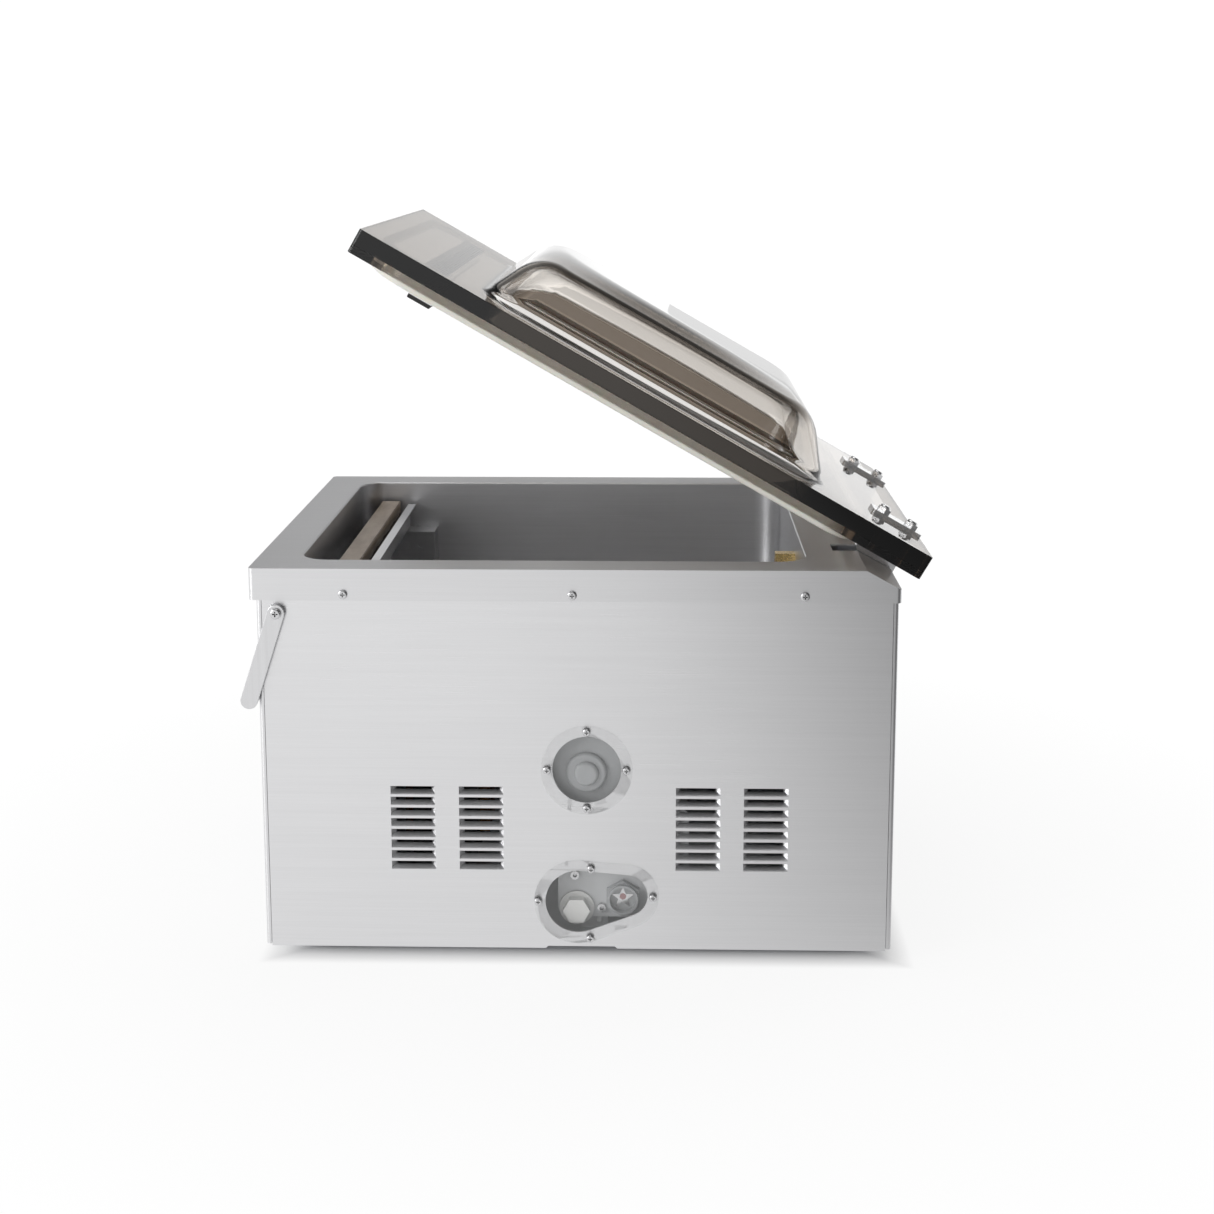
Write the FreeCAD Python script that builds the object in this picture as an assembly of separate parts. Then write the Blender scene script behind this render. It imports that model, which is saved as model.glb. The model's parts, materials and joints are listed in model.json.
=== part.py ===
import FreeCAD, Part
import math
import os

# Tabletop chamber vacuum sealer, millimetres.
# +Z is up, the front faces -Y, and the operator's right hand is +X.
# Depths are given as v, measured back from the front face of the top cap.
# Heights on the cap are given relative to DECK_Z, the top of the deck.
# The parts are written with the lid standing open at LID_OPEN degrees.

# --- driving dimensions -------------------------------------------------------
CAP_W = 425.0        # width over the top cap
CAP_D = 560.0        # depth over the top cap
DECK_Z = 356.0       # deck height above the table
FLANGE_H = 28.0      # skirt of the cap
SHEET = 1.5          # stainless sheet
BEND_V = 530.0       # where the deck turns down at the rear
SLOPE_DROP = 16.6    # drop of the rear slope
ORIGIN_V = 288.92    # v of the frame origin

BODY_X = 211.0       # outer face of the side panels
PANEL_Z = 12.5       # bottom edge of the side panels
FRONT_V = 6.0        # outer face of the front panel
REAR_V = 558.0       # outer face of the rear panel
CORNER_RETURN = 4.5  # how far front and rear panels wrap round the corner

OPEN_X = 178.0       # half width of the chamber opening
OPEN_V = (38.0, 482.0)
OPEN_R = 25.0
TUB_DEPTH = 115.0

PIVOT_V = 544.5      # lid hinge axis
PIVOT_Z = DECK_Z - 34.0
LID_OPEN = 30.0      # degrees
LID_GAP = 3.6        # underside of the closed lid above the deck
LID_W = 419.0
LID_L = 558.0
LID_T = 22.0
DOME_H = 50.0
DOME_WALL = 5.0
DOME_FOOT = (172.0, (113.0, 455.0), 28.0)    # half width, front and rear, corner radius
DOME_TOP = (156.0, (139.0, 420.0), 44.0)
SEAL_RING = (201.5, (16.5, 498.0), 38.0)     # outside of the lid gasket
SEAL_RING_W = 9.0
SLOT_X = (110.0, 135.0)
SLOT_V = 508.0
ARM_X = (112.5, 132.5)

BAIL_V = 24.0        # pivot of the hold-down bail
BAIL_Z = DECK_Z - 38.7
BAIL_R = 82.1        # pivot to rod centre
BAIL_REST = 18.1     # degrees forward of straight down
BAIL_X = (213.5, 216.5)
ROD_R = 7.0

SEAL_V = 69.0        # middle of the sealing bar
SEAL_X = 168.0
POST_X = 120.0       # lift posts of the sealing bar

FOOT_R = 18.0
FOOT_X = 168.0
FOOT_V = (62.5, 507.0)

os.makedirs("parts", exist_ok=True)


# --- helpers ------------------------------------------------------------------
def vec(x, v, z):
    return FreeCAD.Vector(x, v - ORIGIN_V, z)


def box(x, v, z):
    size = [hi - lo for lo, hi in (x, v, z)]
    return Part.makeBox(size[0], size[1], size[2], vec(x[0], v[0], z[0]))


def cyl(axis, at, span, r):
    """Cylinder along x, y or z; at = the other two coordinates."""
    length = span[1] - span[0]
    if axis == "x":
        return Part.makeCylinder(r, length, vec(span[0], at[0], at[1]), FreeCAD.Vector(1, 0, 0))
    if axis == "y":
        return Part.makeCylinder(r, length, vec(at[0], span[0], at[1]), FreeCAD.Vector(0, 1, 0))
    return Part.makeCylinder(r, length, vec(at[0], at[1], span[0]), FreeCAD.Vector(0, 0, 1))


def prism_x(points, x):
    """Outline in (v, z) run from x[0] to x[1]."""
    wire = Part.makePolygon([vec(x[0], v, z) for v, z in points + points[:1]])
    return Part.Face(wire).extrude(FreeCAD.Vector(x[1] - x[0], 0, 0))


def prism_z(points, z):
    """Outline in (x, v) run from z[0] to z[1]."""
    wire = Part.makePolygon([vec(x, v, z[0]) for x, v in points + points[:1]])
    return Part.Face(wire).extrude(FreeCAD.Vector(0, 0, z[1] - z[0]))


def hexagon(axis, at, span, across, turn=0.0):
    """Hexagonal bar along x, y or z, measured across the flats."""
    r = across / math.sqrt(3)
    ring = []
    for k in range(7):
        a = math.radians(turn + 60 * k)
        p, q = r * math.cos(a), r * math.sin(a)
        if axis == "x":
            ring.append(vec(span[0], at[0] + p, at[1] + q))
        elif axis == "y":
            ring.append(vec(at[0] + p, span[0], at[1] + q))
        else:
            ring.append(vec(at[0] + p, at[1] + q, span[0]))
    way = {"x": (1, 0, 0), "y": (0, 1, 0), "z": (0, 0, 1)}[axis]
    return Part.Face(Part.makePolygon(ring)).extrude(FreeCAD.Vector(*way) * (span[1] - span[0]))


def rounded_wire(x, v, z, r):
    """Closed rounded rectangle at height z."""
    (x0, x1), (v0, v1) = x, v
    k = r * (1 - math.sqrt(0.5))
    edges = [
        Part.makeLine(vec(x0 + r, v0, z), vec(x1 - r, v0, z)),
        Part.Arc(vec(x1 - r, v0, z), vec(x1 - k, v0 + k, z), vec(x1, v0 + r, z)).toShape(),
        Part.makeLine(vec(x1, v0 + r, z), vec(x1, v1 - r, z)),
        Part.Arc(vec(x1, v1 - r, z), vec(x1 - k, v1 - k, z), vec(x1 - r, v1, z)).toShape(),
        Part.makeLine(vec(x1 - r, v1, z), vec(x0 + r, v1, z)),
        Part.Arc(vec(x0 + r, v1, z), vec(x0 + k, v1 - k, z), vec(x0, v1 - r, z)).toShape(),
        Part.makeLine(vec(x0, v1 - r, z), vec(x0, v0 + r, z)),
        Part.Arc(vec(x0, v0 + r, z), vec(x0 + k, v0 + k, z), vec(x0 + r, v0, z)).toShape(),
    ]
    return Part.Wire(edges)


def rounded_block(x, v, z, r):
    face = Part.Face(rounded_wire(x, v, z[0], r))
    return face.extrude(FreeCAD.Vector(0, 0, z[1] - z[0]))


def fuse(shapes):
    whole = shapes[0]
    for shape in shapes[1:]:
        whole = whole.fuse(shape)
    return whole.removeSplitter()


def cut(shape, tools):
    return shape.cut(Part.makeCompound(tools)).removeSplitter()


def flat_edges(shape, z, tol=0.01):
    """Edges lying wholly at height z."""
    return [e for e in shape.Edges
            if abs(e.BoundBox.ZMin - z) < tol and abs(e.BoundBox.ZMax - z) < tol]


def mirror(shape):
    return shape.mirror(FreeCAD.Vector(0, 0, 0), FreeCAD.Vector(1, 0, 0))


def both(shape):
    return [shape, mirror(shape)]


def write(name, shapes):
    shape = Part.makeCompound(shapes) if isinstance(shapes, list) else shapes
    shape.exportStep("parts/" + name + ".step")


def pan_screw(axis_x, at, r, height, shank, length):
    """Pan-head screw driven along -x; axis_x is the seat of the head."""
    head = cyl("x", at, (axis_x, axis_x + height), r)
    edges = [e for e in head.Edges if abs(e.BoundBox.XMin - axis_x - height) < 0.01]
    head = head.makeFillet(height * 0.6, [e for e in edges if e.BoundBox.YLength > r])
    recess = (axis_x + height * 0.45, axis_x + height + 1)
    arms = [box(recess, (at[0] - a, at[0] + a), (at[1] - b, at[1] + b))
            for a, b in ((r * 0.5, r * 0.12), (r * 0.12, r * 0.5))]
    head = cut(head, arms)
    return head.fuse(cyl("x", at, (axis_x - length, axis_x), shank))


# --- top cap ------------------------------------------------------------------
def slope_z(v, drop=0.0):
    """Height of the cap's top at depth v, drop = distance below the skin."""
    run = max(0.0, v - BEND_V)
    return DECK_Z - SLOPE_DROP * run / (CAP_D - BEND_V) - drop


SCREW_V = (81.6, 278.6, 477.5)
SCREW_Z = DECK_Z - 22.5
skin = prism_x([(0, DECK_Z - FLANGE_H), (0, DECK_Z), (BEND_V, DECK_Z),
                (CAP_D, slope_z(CAP_D)), (CAP_D, DECK_Z - FLANGE_H)], (-CAP_W / 2, CAP_W / 2))
uprights = [e for e in skin.Edges if e.BoundBox.ZLength > 5 and e.BoundBox.YLength < 0.01]
skin = skin.makeFillet(4.0, uprights)
inside = prism_x([(SHEET, DECK_Z - FLANGE_H - 1), (SHEET, DECK_Z - SHEET), (BEND_V - 0.4, DECK_Z - SHEET),
                  (CAP_D - SHEET, slope_z(CAP_D - SHEET, 1.72)), (CAP_D - SHEET, DECK_Z - FLANGE_H - 1)],
                 (-CAP_W / 2 + SHEET, CAP_W / 2 - SHEET))
uprights = [e for e in inside.Edges if e.BoundBox.ZLength > 5 and e.BoundBox.YLength < 0.01]
inside = inside.makeFillet(2.5, uprights)
deck = skin.cut(inside)
opening = rounded_block((-OPEN_X, OPEN_X), OPEN_V, (DECK_Z - 10, DECK_Z + 10), OPEN_R)
slots = both(box(SLOT_X, (SLOT_V, CAP_D + 5), (DECK_Z - 40, DECK_Z + 5)))
holes = [cyl("x", (v, SCREW_Z), (-CAP_W, CAP_W), 2.0) for v in SCREW_V]
deck = cut(deck, [opening] + slots + holes)
lip = [e for e in flat_edges(deck, DECK_Z)
       if abs(e.BoundBox.Center.x) < OPEN_X + 1 and e.BoundBox.YMax < OPEN_V[1] - ORIGIN_V + 0.1
       and e.BoundBox.YMin > OPEN_V[0] - ORIGIN_V - 0.1]
deck = deck.makeFillet(1.3, lip)
write("chamber_deck", deck)

flange_screws = []
for v in SCREW_V:
    flange_screws += both(pan_screw(CAP_W / 2, (v, SCREW_Z), 4.0, 2.4, 2.0, 9.0))
write("flange_screws", flange_screws)

# --- chamber tub --------------------------------------------------------------
FLOOR_Z = DECK_Z - TUB_DEPTH
PORT = (40.0, DECK_Z - 33.5)      # suction port in the rear wall
VENT = (-90.0, 420.0)             # vent port in the floor
outer = rounded_block((-OPEN_X - SHEET, OPEN_X + SHEET), (OPEN_V[0] - SHEET, OPEN_V[1] + SHEET),
                      (FLOOR_Z - SHEET, DECK_Z - SHEET), OPEN_R + SHEET)
outer = outer.makeFillet(13.5, flat_edges(outer, FLOOR_Z - SHEET))
inner = rounded_block((-OPEN_X, OPEN_X), OPEN_V, (FLOOR_Z, DECK_Z + 5), OPEN_R)
inner = inner.makeFillet(12.0, flat_edges(inner, FLOOR_Z))
post_holes = [cyl("z", (s * POST_X, SEAL_V), (FLOOR_Z - 5, FLOOR_Z + 5), 8.0) for s in (-1, 1)]
port_hole = cyl("y", PORT, (OPEN_V[1] - 5, OPEN_V[1] + 5), 6.5)
vent_hole = cyl("z", VENT, (FLOOR_Z - 5, FLOOR_Z + 5), 5.0)
write("chamber_tub", cut(outer, [inner, port_hole, vent_hole] + post_holes))

# brass suction port, hexagon inside the chamber and barb behind the wall
port = hexagon("y", PORT, (463.5, OPEN_V[1]), 19.0).fuse(cyl("y", PORT, (482.0, 500.0), 6.5))
port = port.fuse(hexagon("y", PORT, (OPEN_V[1] + SHEET, 489.0), 19.0))
write("suction_port", port.cut(cyl("y", PORT, (460.0, 505.0), 4.0)).removeSplitter())

# --- body panels --------------------------------------------------------------
LOUVRE_V = ((119.0, 157.8), (178.8, 217.5), (368.2, 406.9), (427.4, 466.1))
LOUVRE_ROWS = 8
LOUVRE_TOP = DECK_Z - 194.7
LOUVRE_PITCH = 9.82
LOUVRE_H = 7.5
UPPER_WINDOW = (290.6, DECK_Z - 178.7)
LOWER_WINDOW = ((282.5, DECK_Z - 299.9, 28.6), (324.5, DECK_Z - 294.2, 19.3))
WINDOW_T = 2.0


def keyhole(grow, x):
    """Two discs joined by their common tangents, run along x."""
    (va, za, ra), (vb, zb, rb) = LOWER_WINDOW
    ra, rb = ra + grow, rb + grow
    span = math.hypot(vb - va, zb - za)
    base = math.atan2(zb - za, vb - va)
    lean = math.acos((ra - rb) / span)
    points = []
    for v, z, r, side in ((va, za, ra, 1), (vb, zb, rb, 1), (vb, zb, rb, -1), (va, za, ra, -1)):
        a = base + side * lean
        points.append((v + r * math.cos(a), z + r * math.sin(a)))
    discs = [cyl("x", (va, za), x, ra), cyl("x", (vb, zb), x, rb)]
    return fuse([prism_x(points, x)] + discs)


def louvre(v, z):
    """Opening in the panel and the tongue pressed inwards below it."""
    hole = box((BODY_X - 3, BODY_X + 1), v, (z - LOUVRE_H, z))
    inner = BODY_X - SHEET
    low, high = z - LOUVRE_H, z - LOUVRE_H + 3.0
    profile = [(inner, low), (BODY_X, low), (BODY_X - 4.6, high), (BODY_X - 5.8, high)]
    wire = Part.makePolygon([vec(x, v[0], h) for x, h in profile + profile[:1]])
    tongue = Part.Face(wire).extrude(FreeCAD.Vector(0, v[1] - v[0], 0))
    ends = []
    for near, far in ((v[0], v[0] + 4.0), (v[1], v[1] - 4.0)):
        out = 1.2 if far > near else -1.2
        plan = [(inner, near - out), (inner, near), (BODY_X - 5.8, far), (BODY_X - 5.8, far - out)]
        ends.append(prism_z(plan, (low - 0.6, z + 0.6)))
    return hole, fuse([tongue] + ends)


panel = prism_x([(FRONT_V + CORNER_RETURN + 0.4, PANEL_Z), (REAR_V - CORNER_RETURN - 0.4, PANEL_Z),
                 (REAR_V - CORNER_RETURN - 0.4, slope_z(REAR_V - CORNER_RETURN, 1.8)),
                 (BEND_V - 0.4, DECK_Z - SHEET), (FRONT_V + CORNER_RETURN + 0.4, DECK_Z - SHEET)],
                (BODY_X - SHEET, BODY_X))
notch = prism_x([(254, 0), (317, 0), (317, PANEL_Z), (315, PANEL_Z + 2),
                 (256, PANEL_Z + 2), (254, PANEL_Z)], (BODY_X - 5, BODY_X + 5))
screw_holes = [cyl("x", (v, SCREW_Z), (BODY_X - 5, BODY_X + 5), 2.0) for v in SCREW_V]
pivot_hole = cyl("x", (BAIL_V, BAIL_Z), (BODY_X - 5, BODY_X + 5), 3.0)
holes, tongues = [], []
for v in LOUVRE_V:
    for row in range(LOUVRE_ROWS):
        hole, tongue = louvre(v, LOUVRE_TOP - row * LOUVRE_PITCH)
        holes.append(hole)
        tongues.append(tongue)
panel = cut(panel, [notch, pivot_hole] + screw_holes + holes)
panel = panel.fuse(tongues).removeSplitter()
write("side_panel_left", mirror(panel))

upper_hole = cyl("x", UPPER_WINDOW, (BODY_X - 5, BODY_X + 5), 30.0)
UPPER_SCREWS = [(UPPER_WINDOW[0] + dv, UPPER_WINDOW[1] + dz)
                for dv, dz in ((34.6, 0), (0, 34.6), (-34.6, 0), (0, -34.6))]
LOWER_SCREWS = [(294.2, DECK_Z - 269.0), (247.6, DECK_Z - 299.2),
                (348.6, DECK_Z - 295.0), (293.3, DECK_Z - 333.4)]
screw_holes = [cyl("x", at, (BODY_X - 5, BODY_X + 5), 1.5) for at in UPPER_SCREWS + LOWER_SCREWS]
write("side_panel_right", cut(panel, [upper_hole, keyhole(0.0, (BODY_X - 5, BODY_X + 5))] + screw_holes))

plate_x = (BODY_X, BODY_X + WINDOW_T)
plates = [cyl("x", UPPER_WINDOW, plate_x, 40.0), keyhole(9.9, plate_x)]
plates = [cut(plate, screw_holes) for plate in plates]
write("sight_windows", plates)
window_screws = []
for at in UPPER_SCREWS + LOWER_SCREWS:
    window_screws.append(pan_screw(BODY_X + WINDOW_T, at, 3.4, 2.0, 1.5, 7.0))
write("window_screws", window_screws)


def wrap_panel(face_v, inward, top):
    """Upright sheet whose side edges return round the corners of the body."""
    far_v = face_v + inward * CORNER_RETURN
    outer = box((-BODY_X, BODY_X), sorted((face_v, far_v)), (PANEL_Z + 1.7, top))
    corners = [e for e in outer.Edges if e.BoundBox.ZLength > 50
               and abs(e.BoundBox.Center.y - (face_v - ORIGIN_V)) < 0.01]
    outer = outer.makeFillet(3.0, corners)
    start_v = face_v + inward * SHEET
    core = box((SHEET - BODY_X, BODY_X - SHEET), sorted((start_v, far_v + inward * 5)), (0, 400))
    corners = [e for e in core.Edges if e.BoundBox.ZLength > 50
               and abs(e.BoundBox.Center.y - (start_v - ORIGIN_V)) < 0.01]
    return outer.cut(core.makeFillet(1.5, corners))


# --- front panel and its controls ---------------------------------------------
KEY_Z = 154.0
KEY_X = (-60.0, -30.0, 0.0, 60.0)
KEY_R = 6.0
GAUGE = (-140.0, 172.0)
GAUGE_R = 26.0
SWITCH_X = (146.0, 170.0)
SWITCH_Z = (153.0, 191.0)
DISPLAY_X = (-68.0, 8.0)
DISPLAY_Z = (178.0, 202.0)
front = wrap_panel(FRONT_V, 1, DECK_Z - SHEET)
key_holes = [cyl("y", (x, KEY_Z), (0, 12), KEY_R + 0.3) for x in KEY_X]
gauge_hole = cyl("y", GAUGE, (0, 12), GAUGE_R)
switch_hole = box(SWITCH_X, (0, 12), SWITCH_Z)
display_hole = box(DISPLAY_X, (0, 12), DISPLAY_Z)
write("front_panel", cut(front, key_holes + [gauge_hole, switch_hole, display_hole]))

overlay = box((-86, 86), (FRONT_V - 1.0, FRONT_V), (138, 212))
overlay = overlay.makeFillet(6.0, [e for e in overlay.Edges if abs(e.BoundBox.YLength - 1.0) < 0.01])
write("control_overlay", cut(overlay, key_holes + [display_hole]))
write("display_window", box(DISPLAY_X, (FRONT_V - 0.6, FRONT_V + 2.0), DISPLAY_Z))

BOARD_V = 14.0
board = box((-90, 90), (BOARD_V, BOARD_V + 1.6), (134, 216))
board = board.fuse([cyl("y", (x, KEY_Z), (BOARD_V - 2.6, BOARD_V), 3.0) for x in KEY_X])
board = board.fuse(box((-66, 6), (FRONT_V + 2.0, BOARD_V), (179, 201)))
chips = [box((x, x + 16), (BOARD_V + 1.6, BOARD_V + 9), (z, z + 12)) for x in (20, 48) for z in (142, 192)]
standoffs = [cyl("y", (x, z), (FRONT_V + SHEET, BOARD_V), 3.0) for x in (-84, 84) for z in (140, 210)]
write("control_board", fuse([board] + chips + standoffs))
for number, x in enumerate(KEY_X, 1):
    key = cyl("y", (x, KEY_Z), (FRONT_V - 2.6, FRONT_V + 3.4), KEY_R)
    crown = [e for e in key.Edges if abs(e.BoundBox.YMin - (FRONT_V - 2.6 - ORIGIN_V)) < 0.01
             and e.BoundBox.XLength > 5]
    write("key_%d" % number, key.makeFillet(0.8, crown))

# vacuum gauge: cup with bezel, dial, needle on a spindle, lens
cup = cyl("y", GAUGE, (FRONT_V, 44.0), GAUGE_R).fuse(cyl("y", GAUGE, (FRONT_V - 5, FRONT_V), GAUGE_R + 3.5))
cup = cup.cut(cyl("y", GAUGE, (-5, 14.0), GAUGE_R - 2.0))
cup = cup.cut(cyl("y", GAUGE, (FRONT_V - 2.5, FRONT_V - 0.5), GAUGE_R))
cup = cup.fuse(cyl("y", GAUGE, (44.0, 56.0), 5.0))
write("gauge_cup", cup.cut(cyl("y", GAUGE, (20.0, 60.0), 2.5)).removeSplitter())
write("gauge_lens", cyl("y", GAUGE, (FRONT_V - 2.5, FRONT_V - 0.5), GAUGE_R))
dial = cyl("y", GAUGE, (11.5, 14.0), GAUGE_R - 2.0)
spindle_hole = cyl("y", GAUGE, (10.0, 18.0), 0.85)
write("gauge_dial", dial.cut(spindle_hole))
gx, gz = GAUGE
ring = []
for degrees, reach in ((225, 19.0), (315, 1.6), (45, 7.0), (135, 1.6)):
    a = math.radians(degrees)
    ring.append((gx + reach * math.cos(a), gz + reach * math.sin(a)))
wire = Part.makePolygon([vec(x, 9.2, z) for x, z in ring + ring[:1]])
needle = Part.Face(wire).extrude(FreeCAD.Vector(0, 0.7, 0))
needle = needle.fuse(cyl("y", GAUGE, (8.9, 10.4), 2.6)).fuse(cyl("y", GAUGE, (10.4, 13.8), 0.8))
write("gauge_needle", needle.removeSplitter())

# rocker power switch in its housing
case = box((SWITCH_X[0], SWITCH_X[1]), (FRONT_V, 30.0), SWITCH_Z)
case = case.fuse(box((SWITCH_X[0] - 2.5, SWITCH_X[1] + 2.5), (FRONT_V - 1.6, FRONT_V),
                     (SWITCH_Z[0] - 2.5, SWITCH_Z[1] + 2.5)))
case = case.cut(box((SWITCH_X[0] + 2, SWITCH_X[1] - 2), (0, 22.0), (SWITCH_Z[0] + 2.6, SWITCH_Z[1] - 2.6)))
ROCKER = (9.0, 0.5 * (SWITCH_Z[0] + SWITCH_Z[1]))
pin = cyl("x", ROCKER, (SWITCH_X[0] + 1.0, SWITCH_X[1] - 1.0), 1.5)
case = case.cut(cyl("x", ROCKER, (SWITCH_X[0] + 0.8, SWITCH_X[1] - 0.8), 1.55))
write("switch_case", case.removeSplitter())
half = 14.5
rz = ROCKER[1]
paddle = prism_x([(5.8, rz), (2.6, rz + half), (8.5, rz + half), (16.5, rz + 5), (16.5, rz - 5),
                  (9.5, rz - half), (6.4, rz - half)], (SWITCH_X[0] + 2.4, SWITCH_X[1] - 2.4))
write("switch_rocker", paddle.fuse(pin).removeSplitter())

# --- rear panel and inlet -----------------------------------------------------
INLET_X = (-160.0, -132.0)
INLET_Z = (56.0, 78.0)
rear = wrap_panel(REAR_V, -1, slope_z(REAR_V, 1.75))
arm_notches = both(box((SLOT_X[0] - 1, SLOT_X[1] + 1), (REAR_V - 10, REAR_V + 5), (PIVOT_Z - 14, DECK_Z)))
vents = [box((x, x + 34), (REAR_V - 5, REAR_V + 5), (z, z + 4))
         for x in (-60, -17, 26) for z in range(96, 176, 12)]
inlet_hole = box(INLET_X, (REAR_V - 5, REAR_V + 5), INLET_Z)
write("rear_panel", cut(rear, arm_notches + vents + [inlet_hole]))

inlet = box(INLET_X, (REAR_V - 24, REAR_V), INLET_Z)
inlet = inlet.fuse(box((INLET_X[0] - 4, INLET_X[1] + 4), (REAR_V, REAR_V + 2.4),
                       (INLET_Z[0] - 4, INLET_Z[1] + 4)))
inlet = inlet.cut(box((INLET_X[0] + 2, INLET_X[1] - 2), (REAR_V - 16, REAR_V + 5),
                      (INLET_Z[0] + 2.5, INLET_Z[1] - 2.5)))
write("power_inlet", inlet.removeSplitter())
ix = 0.5 * (INLET_X[0] + INLET_X[1])
iz = 0.5 * (INLET_Z[0] + INLET_Z[1])
pins = [box((ix + dx - 1, ix + dx + 1), (REAR_V - 16, REAR_V - 3), (iz + dz - 2, iz + dz + 2))
        for dx, dz in ((-7, -2), (0, 3), (7, -2))]
write("inlet_pins", pins)

# --- base ---------------------------------------------------------------------
PAN_V = (FRONT_V + SHEET + 0.5, REAR_V - SHEET - 0.5)
PAN_X = BODY_X - SHEET - 0.5
pan = box((-PAN_X, PAN_X), PAN_V, (PANEL_Z + 2.0, PANEL_Z + 40.0))
pan = pan.cut(box((-PAN_X + 2, PAN_X - 2), (PAN_V[0] + 2, PAN_V[1] - 2), (PANEL_Z + 4.0, PANEL_Z + 60.0)))
foot_at = [(s * FOOT_X, v) for s in (-1, 1) for v in FOOT_V]
foot_holes = [cyl("z", at, (0, 30), 3.0) for at in foot_at]
window_gap = both(box((PAN_X - 5, PAN_X + 5), (235, 360), (PANEL_Z + 4.0, PANEL_Z + 60.0)))
write("base_pan", cut(pan, foot_holes + window_gap))

feet, screws = [], []
for at in foot_at:
    cone = Part.makeCone(FOOT_R - 2.5, FOOT_R, PANEL_Z + 2.0, vec(at[0], at[1], 0))
    bore = fuse([cyl("z", at, (-1, 20), 3.0), cyl("z", at, (-1, 5.0), 6.5)])
    feet.append(cone.cut(bore))
    screw = fuse([cyl("z", at, (2.0, 5.0), 5.5), cyl("z", at, (5.0, PANEL_Z + 9.0), 3.0)])
    screws.append(screw.fuse(hexagon("z", at, (PANEL_Z + 4.0, PANEL_Z + 8.0), 10.0)))
write("feet", feet)
write("foot_bolts", screws)


# --- pump set under the chamber -----------------------------------------------
def pipe(points, bend, r, bore):
    """Hose through the given corners with rounded bends."""
    corners = [vec(*p) for p in points]
    edges, start = [], corners[0]
    for before, here, after in zip(corners, corners[1:], corners[2:]):
        way_in = (here - before).normalize()
        way_out = (after - here).normalize()
        arc_start = here - way_in * bend
        arc_end = here + way_out * bend
        middle = here + (way_out - way_in) * bend * (1 - math.sqrt(0.5))
        edges.append(Part.makeLine(start, arc_start))
        edges.append(Part.Arc(arc_start, middle, arc_end).toShape())
        start = arc_end
    edges.append(Part.makeLine(start, corners[-1]))
    path = Part.Wire(edges)
    first = (corners[1] - corners[0]).normalize()
    skins = []
    for radius in (r, bore):
        ring = Part.Wire([Part.makeCircle(radius, corners[0], first)])
        skins.append(path.makePipeShell([ring], True, True))
    return skins[0].cut(skins[1])


PUMP_X = (112.0, 190.0)
PUMP_V = (264.0, 380.0)
AXIS = (322.0, 86.0)                # pump and motor shaft, along x
PAN_TOP = PANEL_Z + 4.0
CASE_Z = (33.0, 135.0)
case = box(PUMP_X, PUMP_V, CASE_Z)
case = case.makeFillet(9.0, [e for e in case.Edges if abs(e.BoundBox.XLength - 78.0) < 0.01])
pads = [box((x, x + 20), (v, v + 24), (PAN_TOP, CASE_Z[0] + 2)) for x in (120, 156) for v in (284, 348)]
block = cyl("x", AXIS, (78.0, 112.0), 52.0)
NECK_X = 90.0
neck = cyl("z", (NECK_X, AXIS[0]), (120.0, 152.0), 8.0)
plug_at = (280.7, 42.0)
boss = cyl("x", plug_at, (170.0, 190.0), 14.0)
studs = [cyl("z", (184.0, v), (z, CASE_Z[0] + 2), 2.4) for v, z in ((279.7, 23.5), (301.2, 26.0))]
COVER_SCREWS = ((279.1, 72.7), (303.0, 42.0))
tapped = [cyl("x", at, (178.0, 192.0), 2.5) for at in COVER_SCREWS]
write("pump_body", cut(fuse([case, block, neck, boss] + pads + studs), tapped))
cover_screws = []
for at in COVER_SCREWS:
    screw = cyl("x", at, (190.0, 193.2), 3.9).fuse(cyl("x", at, (178.0, 190.0), 2.5))
    cover_screws.append(screw.cut(hexagon("x", at, (191.2, 194.0), 3.6)))
write("cover_screws", cover_screws)

filter_at = (290.0, 171.0)
can = cyl("x", filter_at, (114.0, 198.0), 36.0)
can = can.makeFillet(5.0, [e for e in can.Edges if abs(e.BoundBox.XMin - 198.0) < 0.01])
for r, start, end, soft in ((18.0, 198.0, 202.5, 3.0), (11.0, 202.5, 206.5, 3.5)):
    step = cyl("x", filter_at, (start, end), r)
    step = step.makeFillet(soft, [e for e in step.Edges if abs(e.BoundBox.XMin - end) < 0.01])
    can = can.fuse(step)
write("exhaust_filter", can.removeSplitter())

plug = hexagon("x", plug_at, (192.0, 200.0), 21.0).fuse(cyl("x", plug_at, (190.0, 192.0), 15.5))
write("oil_plug", plug)
eye_at = (321.8, 51.8)
bezel = hexagon("x", eye_at, (190.0, 195.0), 29.0, 30.0).fuse(cyl("x", eye_at, (195.0, 198.5), 13.6))
write("oil_eye_bezel", bezel.cut(cyl("x", eye_at, (191.0, 200.0), 11.6)))
star = []
for k in range(10):
    a, r = math.radians(36 * k + 90), (10.4 if k % 2 == 0 else 4.4)
    star.append((eye_at[0] + r * math.cos(a), eye_at[1] + r * math.sin(a)))
write("oil_eye_star", prism_x(star, (191.0, 192.0)))
glass = cyl("x", eye_at, (192.4, 198.0), 11.6)
rim = [e for e in glass.Edges if abs(e.BoundBox.XMin - 198.0) < 0.01]
write("oil_eye_glass", glass.makeFillet(2.5, rim))

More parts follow.
